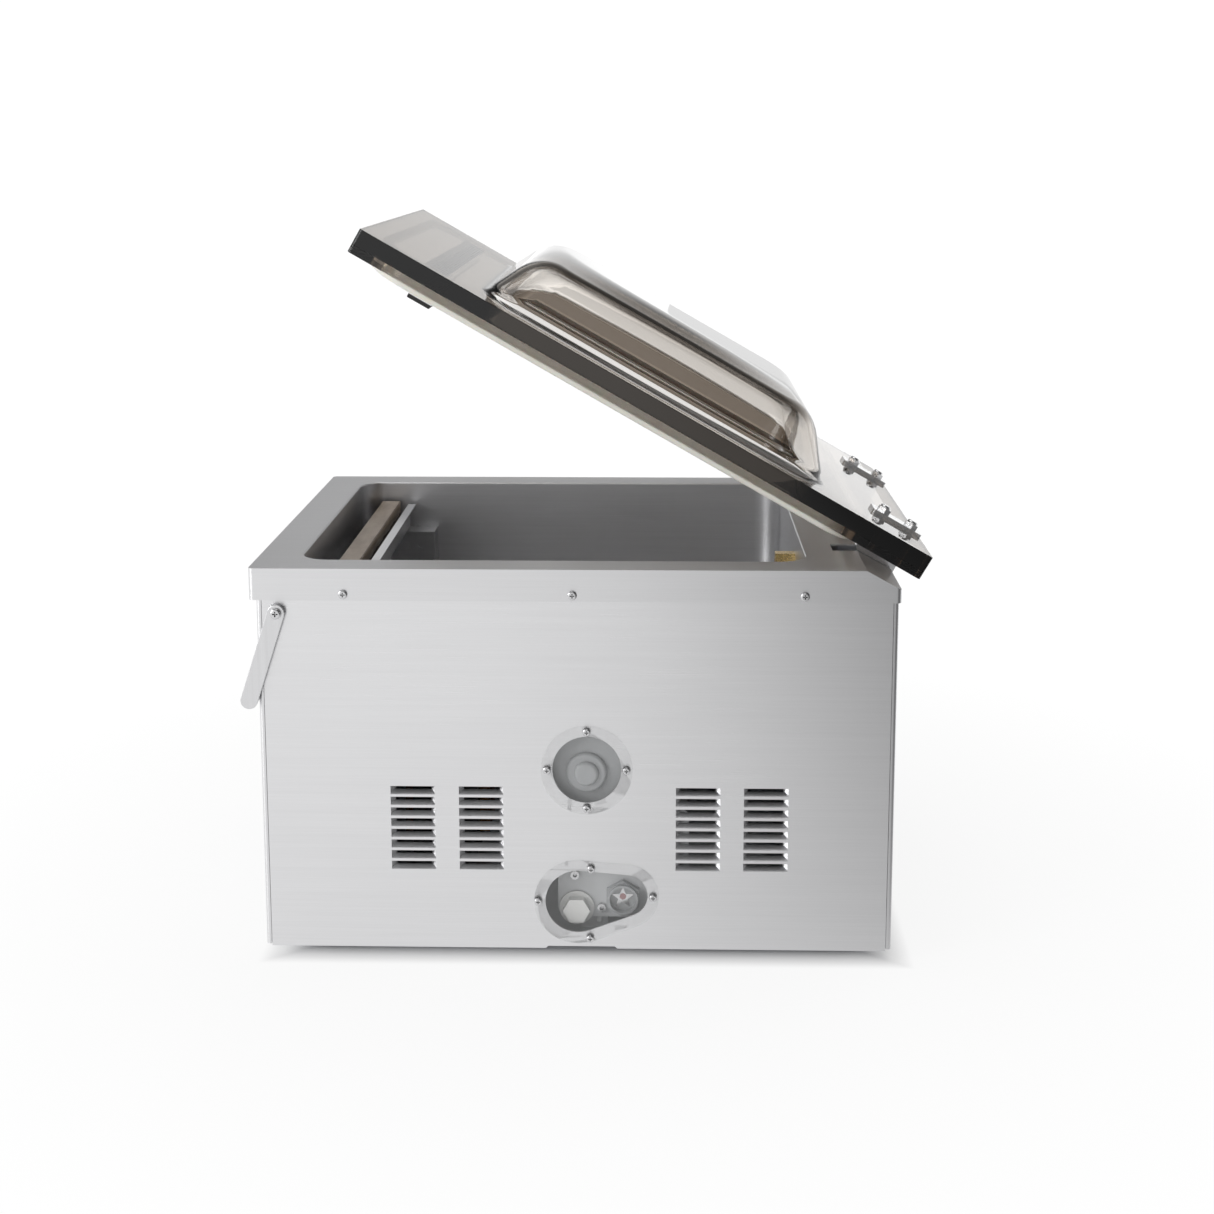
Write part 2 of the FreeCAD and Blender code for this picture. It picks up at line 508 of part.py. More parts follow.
motor = cyl("x", AXIS, (-96.0, 78.0), 50.0)
fins = []
for k in range(18):
    fin = box((-70.0, 66.0), (AXIS[0] - 1.0, AXIS[0] + 1.0), (AXIS[1] + 48.0, AXIS[1] + 55.0))
    fins.append(fin.rotate(vec(0, AXIS[0], AXIS[1]), FreeCAD.Vector(1, 0, 0), 20.0 * k))
legs = [box((x, x + 26), (AXIS[0] - 44, AXIS[0] + 44), (PAN_TOP, AXIS[1] - 20.0)) for x in (-62, 30)]
write("pump_motor", fuse([motor] + fins + legs))
write("motor_cowl", cyl("x", AXIS, (-128.0, -96.0), 54.0))
write("terminal_box", box((-34, 26), (AXIS[0] - 30, AXIS[0] + 30), (AXIS[1] + 56.0, AXIS[1] + 78.0)))

HOSE_V, HOSE_Z = 520.0, 205.0
write("suction_hose", pipe([(PORT[0], 490.0, PORT[1]), (PORT[0], HOSE_V, PORT[1]), (PORT[0], HOSE_V, HOSE_Z),
                            (NECK_X, HOSE_V, HOSE_Z), (NECK_X, AXIS[0], HOSE_Z),
                            (NECK_X, AXIS[0], 152.5)], 18.0, 9.5, 6.55))

vx, vv = VENT
valve = box((vx - 19, vx + 19), (vv - 19, vv + 19), (190.0, 226.0))
valve = fuse([valve, cyl("z", VENT, (220.0, FLOOR_Z - SHEET), 9.0), cyl("z", VENT, (165.0, 190.0), 13.0)])
write("vent_valve", valve)

core = box((-76, 20), (112, 176), (PAN_TOP, 96.0))
windows = [box((-56, -40), (100, 190), (36, 80)), box((-16, 0), (100, 190), (36, 80))]
write("transformer_core", cut(core, windows))
coil = box((-56, 0), (102, 186), (36, 80))
write("transformer_coil", coil.cut(box((-40, -16), (112, 176), (30, 90))).common(fuse(
    [box((-56, 0), (102, 112), (36, 80)), box((-56, 0), (176, 186), (36, 80)),
     box((-56, -40), (111, 177), (36, 80)), box((-16, 0), (111, 177), (36, 80))])))

# --- sealing bar in the chamber -----------------------------------------------
# The carrier rides on two posts that the lift cylinders push up.
channel = prism_x([(56.0, DECK_Z - 45), (88.5, DECK_Z - 45), (88.5, DECK_Z - 23), (95.0, DECK_Z - 23),
                   (95.0, DECK_Z - 21.5), (87.0, DECK_Z - 21.5), (87.0, DECK_Z - 43.5),
                   (57.5, DECK_Z - 43.5), (57.5, DECK_Z - 24), (56.0, DECK_Z - 24)], (-SEAL_X, SEAL_X))
posts = [cyl("z", (s * POST_X, SEAL_V), (FLOOR_Z - 22, DECK_Z - 45), 6.0) for s in (-1, 1)]
write("seal_carrier", fuse([channel] + posts))
bar = box((-SEAL_X, SEAL_X), (SEAL_V - 9.5, SEAL_V + 9.5), (DECK_Z - 43.5, DECK_Z - 18.6))
groove = box((-SEAL_X - 1, SEAL_X + 1), (SEAL_V - 2.5, SEAL_V + 2.5), (DECK_Z - 18.9, DECK_Z - 18))
write("seal_bar", bar.cut(groove))
strip = box((-SEAL_X, SEAL_X), (SEAL_V - 2.5, SEAL_V + 2.5), (DECK_Z - 18.9, DECK_Z - 18.6))
write("heating_strip", strip)
tape = box((-SEAL_X, SEAL_X), (SEAL_V - 10.0, SEAL_V + 10.0), (DECK_Z - 30.0, DECK_Z - 18.1))
tape = tape.cut(box((-SEAL_X - 1, SEAL_X + 1), (SEAL_V - 9.5, SEAL_V + 9.5),
                    (DECK_Z - 40.0, DECK_Z - 18.6)))
write("seal_tape", tape)

lifts = []
for s in (-1, 1):
    at = (s * POST_X, SEAL_V)
    lift = fuse([cyl("z", at, (FLOOR_Z - 60, FLOOR_Z - SHEET), 20.0),
                 cyl("z", at, (FLOOR_Z - SHEET, FLOOR_Z), 8.0),
                 cyl("z", at, (FLOOR_Z, FLOOR_Z + 6), 12.0)])
    lifts.append(lift.cut(cyl("z", at, (FLOOR_Z - 34, FLOOR_Z + 10), 6.05)))
write("lift_cylinders", lifts)

bracket = box((150.0, OPEN_X - 0.4), (66.0, 117.0), (DECK_Z - 92.0, DECK_Z - 47.5))
bracket = bracket.cut(box((140.0, OPEN_X - 1.9), (67.5, 115.5), (DECK_Z - 95.0, DECK_Z - 49.0)))
stud = cyl("x", (98.0, DECK_Z - 68), (OPEN_X - 4.0, OPEN_X + 4.5), 3.0)
write("bar_brackets", both(bracket.cut(stud)))

# --- lid hinges ---------------------------------------------------------------
cheek_profile = [(515.0, DECK_Z - SHEET), (BEND_V - 0.4, DECK_Z - SHEET), (554.0, slope_z(554.0, 1.75)),
                 (554.0, PIVOT_Z - 14), (515.0, PIVOT_Z - 14)]
hinges, shafts = [], []
for x in ((105.0, 109.0), (136.0, 140.0)):
    hinges.append(prism_x(cheek_profile, x))
hinges.append(box((105.0, 140.0), (515.0, 554.0), (PIVOT_Z - 17.0, PIVOT_Z - 14.0)))
hinge = fuse(hinges).cut(cyl("x", (PIVOT_V, PIVOT_Z), (100, 150), 5.0))
write("hinge_brackets", both(hinge))
write("hinge_shafts", both(cyl("x", (PIVOT_V, PIVOT_Z), (102.0, 143.0), 5.0)))

# --- hold-down bail -----------------------------------------------------------
lean = math.radians(BAIL_REST)
END = (BAIL_V - BAIL_R * math.sin(lean), BAIL_Z - BAIL_R * math.cos(lean))
across = (7.5 * math.cos(lean), -7.5 * math.sin(lean))
strap = prism_x([(BAIL_V + across[0], BAIL_Z + across[1]), (BAIL_V - across[0], BAIL_Z - across[1]),
                 (END[0] - across[0], END[1] - across[1]), (END[0] + across[0], END[1] + across[1])],
                BAIL_X)
strap = fuse([strap, cyl("x", (BAIL_V, BAIL_Z), BAIL_X, 7.5), cyl("x", END, BAIL_X, 7.5)])
rim = [e for e in strap.Edges if e.BoundBox.XLength < 0.01]
strap = strap.makeFillet(0.6, rim)
write("bail_levers", both(strap.cut(cyl("x", (BAIL_V, BAIL_Z), (200, 230), 3.05))))
write("bail_rod", cyl("x", END, (-BAIL_X[0], BAIL_X[0]), ROD_R))
stud = pan_screw(BAIL_X[1] + 0.1, (BAIL_V, BAIL_Z), 4.8, 3.0, 3.0, 13.6)
stud = stud.fuse(cyl("x", (BAIL_V, BAIL_Z), (BODY_X, BAIL_X[0] - 0.1), 6.0))
stud = stud.fuse(hexagon("x", (BAIL_V, BAIL_Z), (BODY_X - SHEET - 5.0, BODY_X - SHEET), 13.0))
write("bail_pivots", both(stud.removeSplitter()))

# --- lid ----------------------------------------------------------------------
# Drawn closed, with t measured up from the underside, then swung open.
LID_Z = DECK_Z + LID_GAP


def open_lid(shape):
    moved = shape.copy()
    moved.rotate(vec(0, PIVOT_V, PIVOT_Z), FreeCAD.Vector(1, 0, 0), -LID_OPEN)
    return moved


def inset_outline(outline, inset):
    half, (front, rear), r = outline
    return (inset - half, half - inset), (front + inset, rear - inset), r - inset


def dome(inset, foot, low, high, r):
    """Tapered body of the dome; inset from the outer skin."""
    base = inset_outline(DOME_FOOT, inset)
    top = inset_outline(DOME_TOP, inset)
    wires = [rounded_wire(x, u, LID_Z + z, corner) for (x, u, corner), z in ((base, low), (top, high))]
    body = Part.makeLoft(wires, True, True)
    body = body.makeFillet(r, flat_edges(body, LID_Z + high))
    if foot:
        body = body.fuse(rounded_block(base[0], base[1], (LID_Z - 1, LID_Z + low), base[2]))
    return body


def seal_ring(grow, z):
    """Rectangular ring of the lid gasket, grown all round for its groove."""
    x, u, r = inset_outline(SEAL_RING, -grow)
    outer = rounded_block(x, u, z, r)
    x, u, r = inset_outline(SEAL_RING, SEAL_RING_W + grow)
    return outer.cut(rounded_block(x, u, (z[0] - 1, z[1] + 1), r))


def inner_edges(shape, t):
    """Edges at height t that lie inside the ring of the gasket."""
    return [e for e in flat_edges(shape, LID_Z + t)
            if abs(e.BoundBox.Center.x) < 180
            and e.BoundBox.YMin > 90 - ORIGIN_V and e.BoundBox.YMax < 470 - ORIGIN_V]


BOLT_U = (519.0, 547.0)
BOLT_X = 0.5 * (ARM_X[0] + ARM_X[1])
plate = box((-LID_W / 2, LID_W / 2), (0, LID_L), (LID_Z, LID_Z + LID_T))
plate = plate.makeFillet(3.0, [e for e in plate.Edges if abs(e.BoundBox.ZLength - LID_T) < 0.01])
plate = plate.makeChamfer(0.6, flat_edges(plate, LID_Z + LID_T) + flat_edges(plate, LID_Z))
plate = plate.fuse(dome(0.0, False, LID_T, LID_T + DOME_H, 40.0))
plate = plate.makeFillet(8.0, inner_edges(plate, LID_T))
bolt_holes = [cyl("z", (s * BOLT_X, u), (LID_Z - 5, LID_Z + 40), 3.0) for s in (-1, 1) for u in BOLT_U]
hollow = dome(DOME_WALL, True, LID_T, LID_T + DOME_H - DOME_WALL, 35.0)
groove = seal_ring(0.1, (LID_Z - 1, LID_Z + 6.5))
plate = cut(plate, [hollow, groove] + bolt_holes)
plate = plate.makeFillet(6.0, inner_edges(plate, 0.0))
write("lid", open_lid(plate))
write("lid_gasket", open_lid(seal_ring(0.0, (LID_Z - 3.4, LID_Z + 6.4))))

COUNTER_U = (58.6, 80.6)
holder = box((-172, 172), COUNTER_U, (LID_Z - 10.0, LID_Z))
write("counter_holder", open_lid(holder))
pad = box((-172, 172), COUNTER_U, (LID_Z - 13.5, LID_Z - 10.0))
pad = pad.makeFillet(1.0, [e for e in flat_edges(pad, LID_Z - 13.5) if e.BoundBox.XLength > 100])
write("counter_pad", open_lid(pad))

boss_z = PIVOT_Z
arm = prism_x([(512.0, LID_Z), (512.0, LID_Z - 12), (536.5, boss_z - 3), (553.5, boss_z - 3),
               (553.9, boss_z + 3), (552.0, LID_Z)], ARM_X)
arm = arm.fuse(cyl("x", (PIVOT_V, PIVOT_Z), ARM_X, 9.0))
taps = [cyl("z", (BOLT_X, u), (LID_Z - 10, LID_Z + 5), 3.0) for u in BOLT_U]
arm = cut(arm, taps + [cyl("x", (PIVOT_V, PIVOT_Z), (90, 150), 5.05)])
write("hinge_arms", both(open_lid(arm)))

clamp = box(SLOT_X, (508.0, 557.5), (LID_Z + LID_T, LID_Z + LID_T + 3))
clamp = clamp.makeFillet(2.0, [e for e in clamp.Edges if abs(e.BoundBox.ZLength - 3) < 0.01])
clamp = cut(clamp, [cyl("z", (BOLT_X, u), (LID_Z, LID_Z + 40), 3.0) for u in BOLT_U])
write("clamp_plates", both(open_lid(clamp)))
bolts = []
for u in BOLT_U:
    at = (BOLT_X, u)
    top = LID_Z + LID_T + 3
    nut = hexagon("z", at, (top, top + 4), 11.0).fuse(cyl("z", at, (top + 4, top + 6.5), 5.0))
    nut = nut.makeFillet(1.8, flat_edges(nut, top + 6.5))
    bolts += both(open_lid(nut.fuse(cyl("z", at, (LID_Z - 10, top), 3.0))))
write("lid_bolts", bolts)
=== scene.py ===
import json
import math

import bmesh
import bpy
from mathutils import Matrix, Vector


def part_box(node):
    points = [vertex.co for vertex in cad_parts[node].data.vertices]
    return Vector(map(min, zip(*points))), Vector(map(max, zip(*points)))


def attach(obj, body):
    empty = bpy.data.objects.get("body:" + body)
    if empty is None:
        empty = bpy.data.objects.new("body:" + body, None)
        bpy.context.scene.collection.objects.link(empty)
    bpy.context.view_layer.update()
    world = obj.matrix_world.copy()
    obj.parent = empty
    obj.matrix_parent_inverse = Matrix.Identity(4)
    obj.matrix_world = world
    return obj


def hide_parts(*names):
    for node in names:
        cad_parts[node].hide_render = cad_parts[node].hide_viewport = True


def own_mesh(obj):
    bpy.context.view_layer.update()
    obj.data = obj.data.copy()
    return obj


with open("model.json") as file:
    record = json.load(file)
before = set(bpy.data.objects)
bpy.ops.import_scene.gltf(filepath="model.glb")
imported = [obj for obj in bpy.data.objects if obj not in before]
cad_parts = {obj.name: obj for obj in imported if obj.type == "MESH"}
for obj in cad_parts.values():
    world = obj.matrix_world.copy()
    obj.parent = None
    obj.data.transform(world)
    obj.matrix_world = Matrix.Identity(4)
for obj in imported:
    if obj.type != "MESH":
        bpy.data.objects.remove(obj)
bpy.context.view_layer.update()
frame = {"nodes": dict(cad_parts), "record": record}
nodes = frame["nodes"]


# --- node trees ---------------------------------------------------------------
class Graph:
    """A node tree and short ways to add to it; a source is a socket or a plain value."""

    def __init__(self, tree):
        self.tree = tree

    def add(self, kind, **settings):
        node = self.tree.nodes.new(kind)
        for key, value in settings.items():
            setattr(node, key, value)
        return node

    def feed(self, source, target):
        if isinstance(source, bpy.types.NodeSocket):
            self.tree.links.new(source, target)
        else:
            target.default_value = source

    def math(self, operation, *sources):
        node = self.add("ShaderNodeMath", operation=operation)
        for source, target in zip(sources, node.inputs):
            self.feed(source, target)
        return node.outputs[0]

    def vector_math(self, operation, *sources):
        node = self.add("ShaderNodeVectorMath", operation=operation)
        for source, target in zip(sources, node.inputs):
            self.feed(source, target)
        return node

    def blend(self, factor, first, second):
        mix = self.add("ShaderNodeMix", data_type="FLOAT")
        for source, target in ((factor, "Factor"), (first, "A"), (second, "B")):
            self.feed(source, mix.inputs[target])
        return mix.outputs["Result"]

    def blend_shaders(self, factor, first, second):
        mix = self.add("ShaderNodeMixShader")
        for source, target in zip((factor, first, second), mix.inputs):
            self.feed(source, target)
        return mix.outputs["Shader"]

    def split(self, vector):
        node = self.add("ShaderNodeSeparateXYZ")
        self.feed(vector, node.inputs["Vector"])
        return node.outputs

    def remap(self, value, low, high, start=0.3, end=0.7):
        """Start to end becomes low to high, held there beyond."""
        node = self.add("ShaderNodeMapRange")
        for name, number in (("From Min", start), ("From Max", end), ("To Min", low), ("To Max", high)):
            node.inputs[name].default_value = number
        self.feed(value, node.inputs["Value"])
        return node.outputs["Result"]

    def ramp(self, value, stops):
        """Colour ramp; a stop's colour is three numbers, or one for a grey."""
        node = self.add("ShaderNodeValToRGB")
        elements = node.color_ramp.elements
        for n, (at, colour) in enumerate(stops):
            element = elements[n] if n < 2 else elements.new(at)
            element.position = at
            element.color = (colour, colour, colour, 1.0) if isinstance(colour, float) else (*colour, 1.0)
        self.feed(value, node.inputs["Fac"])
        return node.outputs["Color"]


class Shader(Graph):
    """A node material built up from one Principled shader."""

    def __init__(self, name, **sockets):
        self.mat = bpy.data.materials.new(name)
        self.mat.use_nodes = True
        super().__init__(self.mat.node_tree)
        self.out = self.tree.nodes["Material Output"]
        self.bsdf = self.tree.nodes["Principled BSDF"]
        for key, value in sockets.items():
            self.bsdf.inputs[key.replace("_", " ")].default_value = value

    def place(self):
        return self.add("ShaderNodeTexCoord").outputs["Object"]

    def coords(self, scale=(1, 1, 1)):
        mapping = self.add("ShaderNodeMapping")
        mapping.inputs["Scale"].default_value = scale
        self.feed(self.place(), mapping.inputs["Vector"])
        return mapping.outputs["Vector"]

    def noise(self, scale, vector=None, detail=4.0, roughness=0.5):
        """Noise that follows the generated coordinates where no vector is given."""
        node = self.add("ShaderNodeTexNoise")
        for name, number in (("Scale", scale), ("Detail", detail), ("Roughness", roughness)):
            node.inputs[name].default_value = number
        if vector is not None:
            self.feed(vector, node.inputs["Vector"])
        return node.outputs["Fac"]

    def colour(self, value, low, high, start=0.3, end=0.7):
        self.feed(self.ramp(value, [(start, low), (end, high)]), self.bsdf.inputs["Base Color"])

    def rough(self, value, low, high):
        self.feed(self.remap(value, low, high), self.bsdf.inputs["Roughness"])

    def bump(self, value, strength, distance):
        node = self.add("ShaderNodeBump")
        for name, source in (("Strength", strength), ("Distance", distance), ("Height", value)):
            self.feed(source, node.inputs[name])
        self.feed(node.outputs["Normal"], self.bsdf.inputs["Normal"])


# --- materials ----------------------------------------------------------------
def tone(colour, factor):
    return tuple(min(1.0, c * factor) for c in colour)


def brushed(name, colour, rough, along, spread=0.025, strength=0.2, stretch=0.75):
    """Sheet steel with fine streaks along one axis, glossy along them and dull across."""
    s = Shader(name, Metallic=1.0, Anisotropic=stretch)

    def streaks(lengthways, crossways, detail):
        scale = [lengthways if axis == along else crossways for axis in "xyz"]
        return s.noise(1.0, s.coords(scale), detail, 0.6)

    fine, coarse = streaks(10.0, 1500.0, 3.0), streaks(5.0, 320.0, 2.0)
    cloud = s.noise(5.0, s.coords(), 2.0)
    mixed = s.blend(0.4, fine, coarse)
    s.colour(mixed, tone(colour, 1 - spread), tone(colour, 1 + spread), 0.35, 0.65)
    dull = s.math("ADD", s.remap(fine, rough - 0.05, rough + 0.05), s.remap(cloud, -0.02, 0.02))
    s.feed(dull, s.bsdf.inputs["Roughness"])
    # the lean keeps the tangent defined on faces that look along the streaks
    normal = s.add("ShaderNodeNewGeometry").outputs["Normal"]
    across = s.vector_math("CROSS_PRODUCT", normal, [float(axis == along) for axis in "xyz"])
    lean = s.vector_math("ADD", across.outputs["Vector"], (0.007, 0.013, 0.02))
    s.feed(lean.outputs["Vector"], s.bsdf.inputs["Tangent"])
    s.bump(mixed, strength, 0.00003)
    return s.mat


def grained(name, colour, rough, metal=0.0, scale=900.0, spread=0.12, depth=0.00006, **sockets):
    """Moulded, painted or cast surface with a fine grain and slow blotches."""
    s = Shader(name, Metallic=metal, **sockets)
    grain = s.noise(scale, s.coords(), 3.0)
    s.colour(s.noise(28.0, s.coords()), tone(colour, 1 - spread), tone(colour, 1 + spread))
    s.rough(grain, max(0.03, rough - 0.05), rough + 0.07)
    s.bump(grain, 0.35, depth)
    return s.mat


def screw_with_painted_shade(name, colour, rough):
    """Small bright fastener with painted shade in its recess and round its seat."""
    s = Shader(name, Metallic=1.0)
    grain = s.noise(700.0, s.coords(), 3.0)
    # painted shade: the colour darkens where ambient occlusion finds a recess or a nearby face
    recess_shade = s.add("ShaderNodeAmbientOcclusion", samples=6)
    recess_shade.inputs["Distance"].default_value = 0.0016
    s.colour(recess_shade.outputs["AO"], tone(colour, 0.04), colour, 0.35, 0.95)
    s.rough(grain, rough - 0.04, rough + 0.08)
    s.bump(grain, 0.3, 0.00003)
    return s.mat


steel_y = brushed("steel_brushed_y", (0.80, 0.80, 0.81), 0.33, "y")
steel_x = brushed("steel_brushed_x", (0.80, 0.80, 0.81), 0.33, "x")
steel_deck = brushed("steel_deck", (0.78, 0.78, 0.79), 0.36, "y")
steel_tub = brushed("steel_tub", (0.64, 0.64, 0.65), 0.36, "y", 0.04, 0.2, 0.2)
steel_bar = brushed("steel_bar", (0.72, 0.72, 0.73), 0.22, "x", 0.05)
screw_steel = screw_with_painted_shade("steel_screw", (0.66, 0.66, 0.67), 0.24)
polished = grained("steel_polished", (0.82, 0.82, 0.83), 0.16, 1.0, 400.0, 0.05, 0.00002)
lever_steel = brushed("steel_lever", (0.74, 0.74, 0.75), 0.34, "z", 0.05)
zinc = grained("zinc_plate", (0.60, 0.61, 0.64), 0.38, 1.0, 500.0, 0.10)
brass = grained("brass_turned", (0.80, 0.60, 0.27), 0.26, 1.0, 700.0, 0.10)
rubber = grained("rubber_black", (0.018, 0.018, 0.018), 0.62, 0.0, 1500.0, 0.25)
hose_rubber = grained("hose_rubber", (0.035, 0.035, 0.038), 0.55, 0.0, 900.0, 0.25)
black_plastic = grained("plastic_black", (0.022, 0.022, 0.024), 0.40, 0.0, 1600.0, 0.18)
grey_plastic = grained("plastic_grey", (0.42, 0.43, 0.44), 0.42, 0.0, 900.0, 0.08)
pump_paint = grained("pump_enamel", (0.62, 0.63, 0.64), 0.34, 0.0, 350.0, 0.07, 0.00018)
motor_paint = grained("motor_enamel", (0.06, 0.065, 0.07), 0.42, 0.0, 350.0, 0.15, 0.00018)
board = grained("circuit_board", (0.03, 0.17, 0.08), 0.34, 0.0, 300.0, 0.25)
copper = grained("copper_coil", (0.62, 0.28, 0.12), 0.30, 0.8, 1200.0, 0.15)
core_iron = grained("core_laminations", (0.20, 0.20, 0.21), 0.45, 0.7, 1200.0, 0.18)
aluminium = brushed("aluminium_bar", (0.78, 0.78, 0.79), 0.30, "x", 0.05)
phenolic = grained("phenolic_bar", (0.10, 0.055, 0.03), 0.45, 0.0, 700.0, 0.2)
dial_white = grained("dial_white", (0.82, 0.82, 0.80), 0.45, 0.0, 900.0, 0.03)
needle_black = grained("needle_black", (0.01, 0.01, 0.01), 0.4, 0.0, 900.0, 0.2)
overlay = grained("overlay_film", (0.045, 0.075, 0.13), 0.32, 0.0, 2200.0, 0.06)
key_plastic = grained("key_caps", (0.55, 0.57, 0.60), 0.30, 0.0, 1500.0, 0.05)
pale_plastic = grained("plastic_pale", (0.86, 0.86, 0.84), 0.28, 0.0, 900.0, 0.05)
digit_red = grained("display_digits", (0.22, 0.02, 0.02), 0.25, 0.0, 900.0, 0.1)
print_white = grained("printed_lines", (0.72, 0.74, 0.76), 0.40, 0.0, 2200.0, 0.04)
spot_red = grained("eye_mark", (0.50, 0.20, 0.20), 0.35, 0.0, 1500.0, 0.12)
display = grained("display_tint", (0.035, 0.006, 0.006), 0.08, 0.0, 900.0, 0.1)


# The lid is drawn closed, as (x, u, t): across, back from its front edge, up from its underside.
# At rest it stands open, and LID_ALONG and LID_UP are the directions of u and t.
hinge = next(j for j in frame["record"]["behaviour"]["joints"] if j["name"] == "lid_hinge")
LID_ANGLE = -math.radians(hinge["range_deg"][0])
LID_ALONG = Vector((0, math.cos(LID_ANGLE), -math.sin(LID_ANGLE)))
LID_UP = Vector((0, math.sin(LID_ANGLE), math.cos(LID_ANGLE)))
PIVOT, HINGE_U, HINGE_T = Vector(hinge["pos_m"]), 0.5445, -0.0376    # one point of the hinge axis, both ways
LID_HALF, LID_LONG, LID_T, LID_CORNER, EDGE_R = 0.2095, 0.558, 0.022, 0.003, 0.0006
SEAL_HALF, SEAL_U, SEAL_CORNER, SEAL_WIDE = 0.2015, (0.0165, 0.498), 0.038, 0.009
SEAL_PROUD, GROOVE_T = 0.0034, 0.0065          # CAD gasket below the plate, groove in it
DOME_FOOT = (0.172, 0.113, 0.455, 0.028)       # half width, front, rear, corner radius
DOME_TOP = (0.156, 0.139, 0.420, 0.044)
DOME_H, DOME_WALL = 0.050, 0.005
DOME_R, FOOT_R, LIP_R = 0.040, 0.008, 0.006    # shoulder, outside at the foot, rim of the hollow
HAIR = 0.0001                                  # gap between surfaces that would coincide

# painted shade and relief that the lid's material draws
CROWN_HALF, CROWN_OFFSET, CROWN_RISE = 0.160, 0.025, 0.022    # crowned area of the dome
TOP_SHADE_FROM, TOP_SHADE_FULL = 0.010, 0.003    # painted shade: the dome's tone deepens between these depths below its top
SIDE_X, SIDE_T = 0.2087, 0.0074        # painted shade: side edges darken beyond this x and above this t
# share of painted shade on the right and on the left side edge
DARK_RIGHT, DARK_LEFT = 0.985, 0.5


def lid_at(x, u, t):
    return PIVOT + Vector((x, 0, 0)) + LID_ALONG * (u - HINGE_U) + LID_UP * (t - HINGE_T)


def lid_slab(node):
    """Centre and thickness of a flat ring or plate lying in the lid's plane."""
    low, high = (Vector(corner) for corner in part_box(node))
    size = high - low
    cos, sin = math.cos(LID_ANGLE), math.sin(LID_ANGLE)
    return (low + high) / 2, (size.z * cos - size.y * sin) / (cos * cos - sin * sin)


seal_centre, seal_depth = lid_slab("lid_gasket")
LID_UNDER = seal_centre + LID_UP * (SEAL_PROUD - seal_depth / 2)    # on the underside of the plate


def smoked_lid():
    """Tinted acrylic; painted shade darkens its side edges and the dome's top, which is crowned."""
    s = Shader("smoked_acrylic", Transmission_Weight=1.0, IOR=1.49)
    place = s.place()

    def distance(normal, origin):
        along = s.vector_math("DOT_PRODUCT", place, normal).outputs["Value"]
        return s.math("SUBTRACT", along, Vector(normal).dot(origin))

    def pillow(value):
        """1 in the middle of the crown, falling smoothly to 0 at its edge."""
        share = s.math("DIVIDE", value, CROWN_HALF)
        rest = s.math("SUBTRACT", 1.0, s.math("MULTIPLY", share, share))
        return s.math("POWER", s.math("MAXIMUM", rest, 0.0), 2.0)

    across, height = distance((1, 0, 0), Vector((0, 0, 0))), distance(LID_UP, LID_UNDER)
    top = LID_T + DOME_H
    # painted shade: the dome's top darkens towards its highest part
    depth = s.remap(height, 0.0, 1.0, top - TOP_SHADE_FROM, top - TOP_SHADE_FULL)
    top_shade = s.ramp(depth, [(0.0, (0.99, 0.985, 0.975)), (1.0, (0.24, 0.21, 0.18))])
    # painted shade on the side edges above SIDE_T, nearly black on the right
    right = s.math("MULTIPLY", s.math("GREATER_THAN", across, SIDE_X), DARK_RIGHT)
    left = s.math("MULTIPLY", s.math("LESS_THAN", across, -SIDE_X), DARK_LEFT)
    edge = s.math("MULTIPLY", s.math("ADD", right, left), s.math("GREATER_THAN", height, SIDE_T))
    scaled = s.vector_math("SCALE", top_shade)
    s.feed(s.math("SUBTRACT", 1.0, edge), scaled.inputs["Scale"])
    s.feed(scaled.outputs["Vector"], s.bsdf.inputs["Base Color"])
    s.rough(s.noise(14.0, s.coords(), 3.0), 0.004, 0.016)
    middle = seal_centre + LID_ALONG * CROWN_OFFSET
    crown = s.math("MULTIPLY", pillow(across), pillow(distance(LID_ALONG, middle)))
    s.bump(s.math("MULTIPLY", crown, CROWN_RISE), 1.0, 1.0)
    volume = s.add("ShaderNodeVolumeAbsorption")
    volume.inputs["Color"].default_value = (0.34, 0.24, 0.13, 1.0)
    volume.inputs["Density"].default_value = 42.0
    s.feed(volume.outputs["Volume"], s.out.inputs["Volume"])
    return s.mat


def soft_silicone():
    s = Shader("silicone", Roughness=0.38, Subsurface_Weight=0.12, Transmission_Weight=0.20, IOR=1.41)
    s.bump(s.noise(700.0, s.coords()), 0.3, 0.00005)
    s.colour(s.noise(40.0, s.coords()), (0.90, 0.85, 0.76), (0.95, 0.91, 0.84))
    return s.mat


def cloth_tape():
    """Woven glass cloth coated with PTFE."""
    s = Shader("ptfe_tape")
    vector = s.coords()
    waves = []
    for direction in "XY":
        wave = s.add("ShaderNodeTexWave", bands_direction=direction)
        for name, source in (("Scale", 330.0), ("Distortion", 0.6), ("Vector", vector)):
            s.feed(source, wave.inputs[name])
        waves.append(wave.outputs["Fac"])
    weave = s.math("MULTIPLY", *waves)
    stain = s.noise(22.0, s.coords((1.0, 3.0, 1.0)), 5.0)
    s.colour(stain, (0.40, 0.32, 0.25), (0.58, 0.49, 0.40), 0.35, 0.68)
    s.rough(weave, 0.34, 0.52)
    s.bump(weave, 0.35, 0.00008)
    return s.mat


acrylic = smoked_lid()
window = grained("clear_sheet", (0.90, 0.91, 0.91), 0.06, 0.0, 60.0, 0.01, 0.00001, Alpha=0.07, IOR=1.49)
silicone = soft_silicone()
ptfe = cloth_tape()

